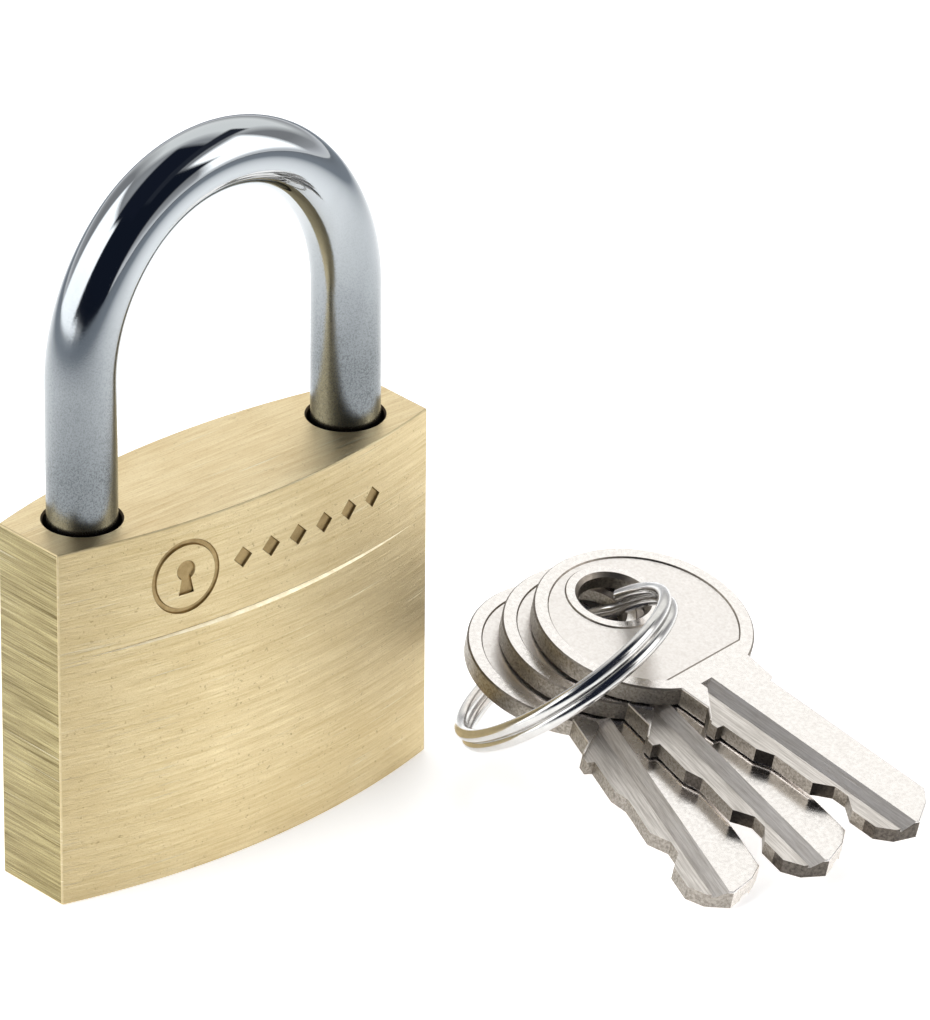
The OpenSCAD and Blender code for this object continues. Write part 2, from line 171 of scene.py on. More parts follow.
def lay_floor():
    """A pale table, just under the lock."""
    bm = bmesh.new()
    bmesh.ops.create_grid(bm, x_segments=2, y_segments=2, size=4)
    bmesh.ops.translate(bm, verts=bm.verts, vec=(0, 0, -0.00003))
    mesh = bpy.data.meshes.new("floor")
    bm.to_mesh(mesh)
    bm.free()
    material = bpy.data.materials.new("pale_floor")
    material.use_nodes = True
    tree = material.node_tree
    shader = tree.nodes["Principled BSDF"]
    shader.inputs["Roughness"].default_value = 0.9
    shader.inputs["Emission Color"].default_value = (1, 1, 1, 1)
    # a pool of light is painted round the lock, as a paler colour and a glow; further off the table falls
    # away to a pale grey
    coords = node(tree, "ShaderNodeTexCoord")
    reach = node(tree, "ShaderNodeVectorMath", operation="DISTANCE")
    reach.inputs[1].default_value = (0.045, 0.05, 0)
    tree.links.new(coords.outputs["Object"], reach.inputs[0])
    pool = spread(tree, reach.outputs["Value"], 0.10, 0.32, 1, 0)
    tree.links.new(tinted(tree, pool, (0.28, 0.31, 0.35), (0.90, 0.90, 0.90)), shader.inputs["Base Color"])
    tree.links.new(spread(tree, pool, 0, 1, 0.0, 0.48), shader.inputs["Emission Strength"])
    mesh.materials.append(material)
    floor = bpy.data.objects.new("floor", mesh)
    SCENE.collection.objects.link(floor)


def hang_lamp(name, place, aim, size, watts):
    """A soft box that lights the object, but isn't mirrored in it."""
    data = bpy.data.lights.new(name, "AREA")
    data.shape = "RECTANGLE"
    data.size, data.size_y = size
    data.energy = watts
    lamp = bpy.data.objects.new(name, data)
    lamp.location = place
    lamp.rotation_euler = (Vector(aim) - Vector(place)).to_track_quat("-Z", "Y").to_euler()
    lamp.visible_glossy = False
    SCENE.collection.objects.link(lamp)


def hang_panel(tree, ray, under, facing, along, wide, tall, edge, shade):
    """Lays a soft-edged panel of light or dark over the room, round the direction facing.

    wide and tall are the panel's half sizes across and along, as sines of their angles."""
    facing = Vector(facing).normalized()
    along = Vector(along)
    along = (along - along.dot(facing) * facing).normalized()
    across = facing.cross(along)
    covers = []
    for axis, reach in ((across, wide), (along, tall)):
        offset = node(tree, "ShaderNodeVectorMath", operation="DOT_PRODUCT")
        offset.inputs[1].default_value = axis
        tree.links.new(ray, offset.inputs[0])
        distance = reckon(tree, "ABSOLUTE", offset.outputs["Value"], 0)
        covers.append(spread(tree, distance, reach - edge / 2, reach + edge / 2, 1, 0))
    front = node(tree, "ShaderNodeVectorMath", operation="DOT_PRODUCT")
    front.inputs[1].default_value = facing
    tree.links.new(ray, front.inputs[0])
    cover = reckon(tree, "MULTIPLY", reckon(tree, "MULTIPLY", *covers),
                   spread(tree, front.outputs["Value"], 0.1, 0.2, 0, 1))
    return tinted(tree, cover, under, shade)


def light_studio():
    """A room that is pale below and grey above, with light and dark panels, and two soft lamps."""
    world = bpy.data.worlds.new("studio_room")
    world.use_nodes = True
    SCENE.world = world
    tree = world.node_tree
    ray = node(tree, "ShaderNodeTexCoord").outputs["Generated"]
    split = node(tree, "ShaderNodeSeparateXYZ")
    tree.links.new(ray, split.inputs[0])
    height = node(tree, "ShaderNodeValToRGB")
    # from the horizon to straight overhead
    ramp = height.color_ramp
    ramp.elements[0].color = (0.95, 0.95, 0.95, 1)
    ramp.elements[1].color = (0.50, 0.51, 0.53, 1)
    for place, shade in ((0.04, 0.85), (0.12, 0.50), (0.30, 0.34), (0.75, 0.34)):
        ramp.elements.new(place).color = (shade, shade, shade * 1.03, 1)
    tree.links.new(split.outputs["Z"], height.inputs[0])
    room = height.outputs["Color"]
    # each panel: facing, along, half width, half height, soft edge and shade
    for panel in (
        # behind, for the lock's top and the keys; then left and right, for the bow
        ((0.62, 0.52, 0.62), (0, 0, 1), 0.52, 0.38, 0.22, (1.14, 1.14, 1.12)),
        ((-0.84, 0.36, 0.42), (0, 0, 1), 0.58, 0.46, 0.08, (2.1, 2.12, 2.15)),
        ((0.62, -0.62, 0.44), (0, 0, 1), 0.30, 0.36, 0.10, (2.3, 2.3, 2.3)),
        # dark: the room's front, the ceiling, and a narrow strip across it
        ((-0.47, -0.67, 0.50), (0.673, 0, 0.74), 0.60, 0.62, 0.06, (0.010, 0.014, 0.026)),
        ((-0.12, -0.14, 0.98), (1.0, 0.35, 0.1), 0.38, 0.48, 0.08, (0.012, 0.016, 0.03)),
        ((0.30, -0.36, 0.88), (0.70, 0.55, 0.04), 0.10, 0.60, 0.05, (0.03, 0.035, 0.05)),
    ):
        room = hang_panel(tree, ray, room, *panel)
    tree.links.new(room, tree.nodes["Background"].inputs["Color"])
    hang_lamp("left_softbox", (-0.9, 0.1, 0.9), (0, 0, 0.02), (0.7, 0.9), 5)
    hang_lamp("top_softbox", (0.1, 0.3, 1.3), (0, 0, 0.02), (0.9, 0.9), 6)
    SCENE.view_settings.view_transform = "Standard"


# ---------------------------------------------------------------- shaping helpers

def turned(profile, steps, place=Matrix()):
    """A solid turned about Z from (radius, height) points that start and end on the axis."""
    bm = bmesh.new()
    points = [bm.verts.new((r, 0, z)) for r, z in profile]
    edges = [bm.edges.new(pair) for pair in zip(points, points[1:])]
    bmesh.ops.spin(bm, geom=points + edges, cent=(0, 0, 0), axis=(0, 0, 1),
                   angle=2 * pi, steps=steps, use_merge=True)
    bmesh.ops.remove_doubles(bm, verts=bm.verts, dist=1e-4)
    bmesh.ops.recalc_face_normals(bm, faces=bm.faces)
    bmesh.ops.transform(bm, matrix=place, verts=bm.verts)
    return bm


def bore(radius, low, high, steps, place):
    """A plain rod along Z from low to high, to cut a hole with."""
    return turned([(0, low), (radius, low), (radius, high), (0, high)], steps, place)


def plate(outline, low, high, place=Matrix()):
    """A flat outline in X and Y, made solid from low to high."""
    bm = bmesh.new()
    face = bm.faces.new([bm.verts.new((x, y, low)) for x, y in outline])
    raised = bmesh.ops.extrude_face_region(bm, geom=[face])
    bmesh.ops.translate(bm, vec=(0, 0, high - low),
                        verts=[e for e in raised["geom"] if isinstance(e, bmesh.types.BMVert)])
    bmesh.ops.recalc_face_normals(bm, faces=bm.faces)
    bmesh.ops.transform(bm, matrix=place, verts=bm.verts)
    return bm


def block(low, high):
    """A square block between two opposite corners, to cut with."""
    bm = bmesh.new()
    bmesh.ops.create_cube(bm, size=1)
    bmesh.ops.scale(bm, vec=Vector(high) - Vector(low), verts=bm.verts)
    bmesh.ops.translate(bm, vec=(Vector(high) + Vector(low)) / 2, verts=bm.verts)
    return bm


def ends_of(edges):
    """The vertices of some edges, each once and always in the same order."""
    return list(dict.fromkeys(v for e in edges for v in e.verts))


def place_object(name, bm):
    """Makes an object of a bmesh, which is used up."""
    mesh = bpy.data.meshes.new(name)
    bm.to_mesh(mesh)
    bm.free()
    made = bpy.data.objects.new(name, mesh)
    SCENE.collection.objects.link(made)
    return made


def carved(solid, tools):
    """Cuts or joins each tool, in order, and gives back the result; a tool is (bmesh, slot, operation).

    A cut face keeps its tool's slot only if both objects have that many slots, so all carry stand-ins."""
    stand_ins = [bpy.data.materials.new(f"part_{slot}") for slot in range(MOST_SLOTS)]
    work = place_object("work", solid)
    for material in stand_ins:
        work.data.materials.append(material)
    helpers = []
    for tool, slot, operation in tools:
        for face in tool.faces:
            face.material_index = slot
        helper = place_object("tool", tool)
        for material in stand_ins:
            helper.data.materials.append(material)
        helpers.append(helper)
        cut = work.modifiers.new("cut", "BOOLEAN")
        cut.operation = operation
        cut.solver = "EXACT"
        cut.material_mode = "INDEX"
        cut.object = helper
    bpy.context.view_layer.update()
    finished = work.evaluated_get(bpy.context.evaluated_depsgraph_get())
    bm = bmesh.new()
    bm.from_mesh(finished.to_mesh())
    finished.to_mesh_clear()
    for helper in helpers + [work]:
        mesh = helper.data
        bpy.data.objects.remove(helper)
        bpy.data.meshes.remove(mesh)
    for material in stand_ins:
        bpy.data.materials.remove(material)
    bmesh.ops.remove_doubles(bm, verts=bm.verts, dist=1e-4)
    return bm


def finish_piece(name, bm, body, cad_node, materials, sharp=20):
    """Brings a shape to metres, dresses it and puts it in its CAD node's place.

    Edges that turn by more than sharp, in degrees, stay crisp."""
    bmesh.ops.scale(bm, vec=(MM, MM, MM), verts=bm.verts)
    piece = place_object(name, bm)
    for material in materials:
        piece.data.materials.append(material)
    piece.data.shade_smooth()
    piece.data.set_sharp_from_angle(angle=radians(sharp))
    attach(piece, body)
    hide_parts(cad_node)
    return piece


# ---------------------------------------------------------------- finishes

def metal(name, colour, roughness):
    """A bare metal to work a finish on, with its node tree and shader."""
    material = bpy.data.materials.new(name)
    material.use_nodes = True
    tree = material.node_tree
    shader = tree.nodes["Principled BSDF"]
    shader.inputs["Metallic"].default_value = 1.0
    shader.inputs["Base Color"].default_value = (*colour, 1)
    shader.inputs["Roughness"].default_value = roughness
    return material, tree, shader


def grain(tree, scale, detail=3, rough=0.6, turn=None):
    """Noise on the object's own coordinates; scale is in cells per metre along X, Y and Z, turned first."""
    coords = node(tree, "ShaderNodeTexCoord")
    mapping = node(tree, "ShaderNodeMapping", vector_type="TEXTURE")
    mapping.inputs["Scale"].default_value = [1 / s for s in scale]
    if turn is not None:
        mapping.inputs["Rotation"].default_value = turn
    noise = node(tree, "ShaderNodeTexNoise")
    noise.inputs["Scale"].default_value = 1.0
    noise.inputs["Detail"].default_value = detail
    noise.inputs["Roughness"].default_value = rough
    tree.links.new(coords.outputs["Object"], mapping.inputs["Vector"])
    tree.links.new(mapping.outputs["Vector"], noise.inputs["Vector"])
    return noise.outputs["Fac"]


def spread(tree, value, low, high, to_low, to_high):
    """Stretches a value from low..high to another range, held at both ends."""
    ranged = node(tree, "ShaderNodeMapRange")
    for key, number in zip(("From Min", "From Max", "To Min", "To Max"), (low, high, to_low, to_high)):
        ranged.inputs[key].default_value = number
    tree.links.new(value, ranged.inputs["Value"])
    return ranged.outputs["Result"]


def reckon(tree, operation, first, second):
    """One sum on two values, each a number or a socket."""
    sums = node(tree, "ShaderNodeMath", operation=operation)
    for socket, value in zip(sums.inputs, (first, second)):
        if isinstance(value, (int, float)):
            socket.default_value = value
        else:
            tree.links.new(value, socket)
    return sums.outputs[0]


def tinted(tree, factor, first, second):
    """Mixes two colours, each a colour or a socket, by the factor socket."""
    mixer = node(tree, "ShaderNodeMix", data_type="RGBA")
    # a Mix node has sockets for every type; those for colours are inputs 6 and 7 and output 2
    tree.links.new(factor, mixer.inputs[0])
    for socket, value in ((mixer.inputs[6], first), (mixer.inputs[7], second)):
        if isinstance(value, tuple):
            socket.default_value = (*value, 1)
        else:
            tree.links.new(value, socket)
    return mixer.outputs[2]


def bumped(tree, height, distance):
    bump = node(tree, "ShaderNodeBump")
    bump.inputs["Distance"].default_value = distance
    tree.links.new(height, bump.inputs["Height"])
    return bump.outputs["Normal"]


BRASS = (0.84, 0.71, 0.44)
BRASS_DEEP = (0.60, 0.46, 0.22)


def brushed_brass(name, across, contrast=0.5, fine=7000, coarse=2200, stretch=(240, 110), pale=BRASS,
                  deep=BRASS_DEEP, roughness=0.38, bump=0.000012, pits=0.45, painted_end_shade=0):
    """Brass brushed in long strokes; across is the axis that the strokes are spaced along."""
    material, tree, shader = metal(name, pale, roughness)

    def strokes(spacing, length):
        scale = [length] * 3
        scale["XYZ".index(across)] = spacing
        return scale

    hair = grain(tree, strokes(fine, stretch[0]), 4, 0.7)
    band = grain(tree, strokes(coarse, stretch[1]), 3, 0.6)
    cloud = grain(tree, (90, 90, 90), 3, 0.55)
    both = reckon(tree, "ADD", reckon(tree, "MULTIPLY", hair, 0.6), reckon(tree, "MULTIPLY", band, 0.4))
    streak = spread(tree, both, 0.36, 0.64, 0, 1)
    colour = tinted(tree, reckon(tree, "MULTIPLY", streak, contrast), pale, deep)
    colour = tinted(tree, spread(tree, cloud, 0.42, 0.75, 0, 0.35), colour, deep)
    scratch = spread(tree, grain(tree, strokes(fine * 0.8, stretch[0] * 0.6), 1, 0.4), 0.68, 0.8, 0, 1)
    colour = tinted(tree, reckon(tree, "MULTIPLY", scratch, 0.7), colour, (1.0, 0.93, 0.70))
    height = reckon(tree, "SUBTRACT", streak, scratch)
    if pits:
        speckle = grain(tree, (3400, 3400, 3400), 2, 0.5)
        spots = spread(tree, speckle, 0.66, 0.74, 0, 1)
        colour = tinted(tree, reckon(tree, "MULTIPLY", spots, pits), colour, (0.36, 0.25, 0.10))
        sand = grain(tree, (6500, 6500, 6500), 2, 0.6)
        colour = tinted(tree, spread(tree, sand, 0.5, 0.75, 0, 0.35), colour, deep)
        height = reckon(tree, "ADD", height, reckon(tree, "MULTIPLY", sand, 0.6))
        height = reckon(tree, "SUBTRACT", height, spots)
    if painted_end_shade:
        # painted shade: darker towards the lock's left end
        along = node(tree, "ShaderNodeSeparateXYZ")
        tree.links.new(node(tree, "ShaderNodeTexCoord").outputs["Object"], along.inputs[0])
        end_shade = spread(tree, along.outputs["X"], -0.020, -0.005, painted_end_shade, 0)
        colour = tinted(tree, end_shade, colour, (0.42, 0.335, 0.18))
    tree.links.new(colour, shader.inputs["Base Color"])
    rough = spread(tree, both, 0.3, 0.7, roughness - 0.08, roughness + 0.1)
    tree.links.new(rough, shader.inputs["Roughness"])
    tree.links.new(bumped(tree, height, bump), shader.inputs["Normal"])
    return material


def worked_metal(name, colour, deep, roughness, spots_per_m=1800, bump=0.000006, stretch=(1, 1, 1),
                 amount=0.5, turn=None, stain=0.3):
    """Plain worked metal with an even grain, small stains and a fine texture."""
    material, tree, shader = metal(name, colour, roughness)
    fine = grain(tree, [spots_per_m * s for s in stretch], 4, 0.65, turn=turn)
    wide = grain(tree, (140, 140, 140), 3, 0.5)
    shade = tinted(tree, reckon(tree, "MULTIPLY", spread(tree, fine, 0.38, 0.66, 0, 1), amount), colour, deep)
    shade = tinted(tree, spread(tree, wide, 0.45, 0.8, 0, stain), shade, deep)
    tree.links.new(shade, shader.inputs["Base Color"])
    rough = spread(tree, fine, 0.3, 0.7, roughness - 0.07, roughness + 0.08)
    tree.links.new(rough, shader.inputs["Roughness"])
    tree.links.new(bumped(tree, fine, bump), shader.inputs["Normal"])
    return material


def shackle_finish():
    """Chrome: mirror bright on the bow, satin and sandy on the legs, which are also painted darker as shade.
    """
    bright, satin_and_shade_pale, satin_and_shade_deep = (0.50, 0.53, 0.55), (0.245, 0.265, 0.275), (0.13, 0.142, 0.148)
    material, tree, shader = metal("shackle_chrome", bright, 0.08)
    coords = node(tree, "ShaderNodeTexCoord")
    split = node(tree, "ShaderNodeSeparateXYZ")
    tree.links.new(coords.outputs["Object"], split.inputs[0])
    wander = grain(tree, (300, 300, 120), 2, 0.5)
    height = reckon(tree, "ADD", split.outputs["Z"], reckon(tree, "MULTIPLY", wander, 0.008))
    satin = spread(tree, height, 0.041, 0.060, 1, 0)
    sand = grain(tree, (8000, 8000, 6500), 3, 0.7)
    lines = grain(tree, (9000, 9000, 700), 3, 0.6)
    # the legs are satin, and their colours are dark partly as painted shade, for a grey room mirrored in them
    sanded = tinted(tree, spread(tree, sand, 0.45, 0.66, 0, 0.95), satin_and_shade_pale, satin_and_shade_deep)
    tree.links.new(tinted(tree, satin, bright, sanded), shader.inputs["Base Color"])
    sand_rough = spread(tree, sand, 0.3, 0.7, 0.12, 0.24)
    rough = reckon(tree, "ADD", 0.05, reckon(tree, "MULTIPLY", satin, sand_rough))
    tree.links.new(rough, shader.inputs["Roughness"])
    texture = reckon(tree, "ADD", reckon(tree, "MULTIPLY", sand, reckon(tree, "ADD", 0.05, satin)),
                     reckon(tree, "MULTIPLY", lines, 0.06))
    tree.links.new(bumped(tree, texture, 0.00001), shader.inputs["Normal"])
    return material


def make_finishes():
    """The finishes of the body, the shackle and the ring; each key has its own."""
    return {
        # the body is one brass, brushed its own way on each face; the top is painted paler and the end and
        # rounded edges darker than the front, partly as painted light and shade, and the front gets painted
        # shade towards its left end
        "body_front": brushed_brass("brass_front", "Z", contrast=0.68, fine=8600, coarse=2900, roughness=0.42,
                                    pale=(0.90, 0.765, 0.48), bump=0.00003, painted_end_shade=0.5),
        "body_end": brushed_brass("brass_end", "Z", contrast=1.0, fine=9500, coarse=2600, stretch=(110, 90),
                                  pale=(0.63, 0.54, 0.28), deep=(0.17, 0.13, 0.05), bump=0.00004),
        "body_top": brushed_brass("brass_top", "Y", contrast=0.5, fine=6800, coarse=2400,
                                  deep=(0.66, 0.47, 0.22), pale=(0.98, 0.84, 0.54), roughness=0.42,
                                  pits=0.2),
        "body_edge": brushed_brass("brass_edge", "Z", contrast=0.3, roughness=0.50, pits=0.0,
                                   pale=(0.70, 0.60, 0.38)),
        "body_cut": worked_metal("brass_engraving", (0.42, 0.31, 0.15), (0.26, 0.18, 0.08), 0.42),
        # the scribed line's faces are painted pale, a painted highlight
        "body_line_highlight": worked_metal("brass_scribed_line_highlight", (0.98, 0.90, 0.68), (0.86, 0.74, 0.48), 0.5),
        # the bores are painted a near black brown, as shade inside the holes
        "body_bore": worked_metal("brass_bore", (0.16, 0.11, 0.06), (0.07, 0.05, 0.03), 0.5),
        "shackle": shackle_finish(),
        "ring": worked_metal("ring_nickel", (0.72, 0.71, 0.69), (0.52, 0.50, 0.48), 0.17,
                             spots_per_m=900, bump=0.000003, amount=0.3),
    }


# the freshly cut faces of the teeth and the tip, pale and deep; on the first two keys they are painted near
# black as shade, on the third they are paler
CUT_SHADES = {"key_1": ((0.15, 0.13, 0.11), (0.04, 0.035, 0.03)),
              "key_2": ((0.16, 0.14, 0.12), (0.04, 0.035, 0.03)),
              "key_3": ((0.46, 0.42, 0.37), (0.16, 0.14, 0.12))}


def key_finishes(key, turn):
    """Six nickel finishes for one key, their strokes laid along its blade; the edge, cut and rim finishes are
    painted darker, in part as shade.
    """
    name = key.replace("key", "nickel")
    return [
        worked_metal(name + "_face", (0.93, 0.895, 0.865), (0.78, 0.735, 0.69), 0.22,
                     spots_per_m=2800, amount=0.45, stain=0.15),
        worked_metal(name + "_field", (1.0, 0.96, 0.925), (0.84, 0.785, 0.73), 0.34,
                     spots_per_m=3800, amount=0.5, stain=0.15, bump=0.00001),
        # the sides: grey-brown, and painted darker still as the shade between the keys
        worked_metal(name + "_edge", (0.46, 0.42, 0.365), (0.17, 0.15, 0.125), 0.40,
                     spots_per_m=4600, amount=0.85, bump=0.00003),
        worked_metal(name + "_milled", (1.0, 0.95, 0.895), (0.54, 0.495, 0.44), 0.45,
                     spots_per_m=5200, amount=0.7, stretch=(0.06, 1, 1), turn=turn, bump=0.00002),
        worked_metal(name + "_cut", *CUT_SHADES[key], 0.36, spots_per_m=3600, amount=0.8, bump=0.00002),
        # the sloped rim of the sunk field: painted dark as shade, so the field's border reads as a thin dark
        # line
        worked_metal(name + "_rim", (0.34, 0.30, 0.255), (0.20, 0.17, 0.14), 0.42,
                     spots_per_m=2800, amount=0.6),
    ]


# ---------------------------------------------------------------- lock body

def body_blank():
    """The body's plan: two arcs spun from one point each, closed at the ends, then drawn up."""
    bm = bmesh.new()
    half = asin(BODY_W / 2 / FACE_R)
    for side in (-1, 1):
        start = bm.verts.new((-side * BODY_W / 2, side * END_T / 2, 0))
        bmesh.ops.spin(bm, geom=[start], cent=(0, side * (MID_T / 2 - FACE_R), 0), axis=(0, 0, 1),
                       angle=-2 * half, steps=128)
    ends = [v for v in bm.verts if len(v.link_edges) == 1]
    for x in (-1, 1):
        bm.edges.new([v for v in ends if v.co.x * x > 0])
    face = bmesh.ops.contextual_create(bm, geom=bm.edges)["faces"]
    raised = bmesh.ops.extrude_face_region(bm, geom=face)
    bmesh.ops.translate(bm, vec=(0, 0, BODY_H),
                        verts=[e for e in raised["geom"] if isinstance(e, bmesh.types.BMVert)])
    bmesh.ops.recalc_face_normals(bm, faces=bm.faces)
    for f in bm.faces:
        f.material_index = TOP if abs(f.normal.z) > 0.9 else END if abs(f.normal.x) > 0.9 else FRONT
    # the rounded edges have a finish of their own, rougher and painted darker partly as shade, so the bevel
    # is given its slot
    outer = [e for e in bm.edges if e.calc_face_angle(0) > radians(40)]
    bmesh.ops.bevel(bm, geom=outer, offset=EDGE_EASE, offset_type="OFFSET", segments=3, profile=0.5,
                    affect="EDGES", material=EDGE, clamp_overlap=True)
    return bm


def scribed_line_tool():
    """A V with eased lips, swept on a wider arc so that it runs out of the face at both ends."""
    sag = face_y(LINE_REACH) + MID_T / 2 - LINE_DEPTH
    r = (LINE_REACH ** 2 + sag ** 2) / (2 * sag)
    bm = bmesh.new()
    profile = [(0, 0), (0.2, 0.19), (1.2, 0.9), (1.2, -1.2), (0.22, -0.28), (0.15, -0.17)]
    face = bm.faces.new([bm.verts.new((r + x, 0, z)) for x, z in profile])
    sweep = 50
    bmesh.ops.spin(bm, geom=[face, *face.edges, *face.verts], cent=(0, 0, 0), axis=(0, 0, 1),
                   angle=radians(sweep), steps=160)
    bmesh.ops.remove_doubles(bm, verts=bm.verts, dist=1e-4)
    bmesh.ops.recalc_face_normals(bm, faces=bm.faces)
    middle = Matrix.Translation((0, r - MID_T / 2 + LINE_DEPTH, BODY_H - LINE_DROP))
    to_front = Matrix.Rotation(radians(-90 - sweep / 2), 4, "Z")
    bmesh.ops.transform(bm, verts=bm.verts, matrix=middle @ to_front)
    return bm


def on_front(x, z, depth):
    """Places a tool drawn in X and Y onto the curved front at x, z, sunk by depth."""
    lean = asin(x / FACE_R)
    spot = Vector((x, face_y(x) + depth, z))
    return Matrix.Translation(spot) @ Matrix.Rotation(lean, 4, "Z") @ Matrix.Rotation(radians(90), 4, "X")


def mark_tools():
    """Plain ring with a keyhole in it, and a row of lozenges beside it, all with sloped sides."""
    mark_z = BODY_H - LINE_DROP / 2
    height = 2 * MARK_DEPTH
    slope = MARK_DRAFT * height
    centre = on_front(MARK_X, mark_z, MARK_DEPTH)
    floor_out, floor_in = MARK_R - 0.06, MARK_R - 0.39
    points = [(floor_out, 0), (floor_out + slope, height), (floor_in - slope, height), (floor_in, 0)]
    ring = bmesh.new()
    verts = [ring.verts.new((r, 0, z)) for r, z in points]
    edges = [ring.edges.new((verts[i], verts[(i + 1) % 4])) for i in range(4)]
    bmesh.ops.spin(ring, geom=verts + edges, cent=(0, 0, 0), axis=(0, 0, 1), angle=2 * pi, steps=96,
                   use_merge=True)
    bmesh.ops.remove_doubles(ring, verts=ring.verts, dist=1e-4)
    bmesh.ops.recalc_face_normals(ring, faces=ring.faces)
    bmesh.ops.transform(ring, verts=ring.verts, matrix=centre)
    keyhole_eye = turned([(0, 0), (0.8, 0), (1.0, height), (0, height)], 48,
                         centre @ Matrix.Translation((0, 0.55, 0)))
    keyhole_foot = plate([(-0.35, 0.3), (0.35, 0.3), (0.75, -1.6), (-0.75, -1.6)], 0, height, centre)
    lozenge = [(0, 0), (LOZENGE_HALF - 0.08, 0), (LOZENGE_HALF + 0.12, height), (0, height)]
    row = [MARK_X + MARK_R + LOZENGE_PITCH * (i + 0.8) for i in range(LOZENGES)]
    return [ring, keyhole_eye, keyhole_foot] + [turned(lozenge, 4, on_front(x, mark_z, MARK_DEPTH))
                                                for x in row]


def bore_tools():
    """The leg holes, the stepped bore for plug and cam, and the drillings from the right end and the back."""
    tools = []
    for x, floor in ((-LEG_X, HEEL_HOLE_FLOOR), (LEG_X, TOE_HOLE_FLOOR)):
        leg_hole = [(0, floor), (LEG_HOLE_R, floor), (LEG_HOLE_R, BODY_H - 0.15),
                    (LEG_HOLE_R + 0.35, BODY_H + 0.2), (0, BODY_H + 0.2)]
        tools.append(turned(leg_hole, 96, Matrix.Translation((x, 0, 0))))
    tools.append(turned([(0, -0.3), (PLUG_BORE_R + 0.4, -0.3), (PLUG_BORE_R, 0.1),
                         (PLUG_BORE_R, PLUG_ROOM_TOP), (CAM_BORE_R, PLUG_ROOM_TOP),
                         (CAM_BORE_R, CAM_ROOM_TOP), (CAM_WAY_R, CAM_ROOM_TOP),
                         (CAM_WAY_R, BOLT_Z), (0, BOLT_Z)], 96))
    along_x = Matrix.Rotation(radians(90), 4, "Y")
    outside = BODY_W / 2 + 1
    tools.append(bore(BOLT_BORE_R, -LEG_X, outside, 48, Matrix.Translation((0, 0, BOLT_Z)) @ along_x))
    for i in range(5):
        chamber = Matrix.Translation((0, 0, PLUG_INSET + FIRST_PIN + PIN_PITCH * i)) @ along_x
        tools.append(bore(CHAMBER_R, CHAMBER_FLOOR, outside, 48, chamber))
    keeper = Matrix.Translation((KEEPER_X, -3, KEEPER_Z)) @ Matrix.Rotation(radians(-90), 4, "X")
    tools.append(bore(KEEPER_BORE_R, 0, MID_T, 32, keeper))
    return tools


def lock_body(finish):
    """The brass body, engraved and bored."""
    tools = [(scribed_line_tool(), LINE_HIGHLIGHT, "DIFFERENCE")]
    tools += [(tool, CUT, "DIFFERENCE") for tool in mark_tools()]
    tools += [(tool, BORE, "DIFFERENCE") for tool in bore_tools()]
    bm = carved(body_blank(), tools)
    # painted light: the line's lower side, which faces up, is painted pale as a highlight; the side that
    # faces down is painted as dark as the mark, as shade
    for f in bm.faces:
        if f.material_index == LINE_HIGHLIGHT and f.normal.z < 0:
            f.material_index = CUT
    names = ("body_front", "body_end", "body_top", "body_edge", "body_cut", "body_line_highlight", "body_bore")
    finish_piece("brass_body", bm, "lock", "lock_body", [finish[name] for name in names],
                 sharp=14)


# ---------------------------------------------------------------- shackle

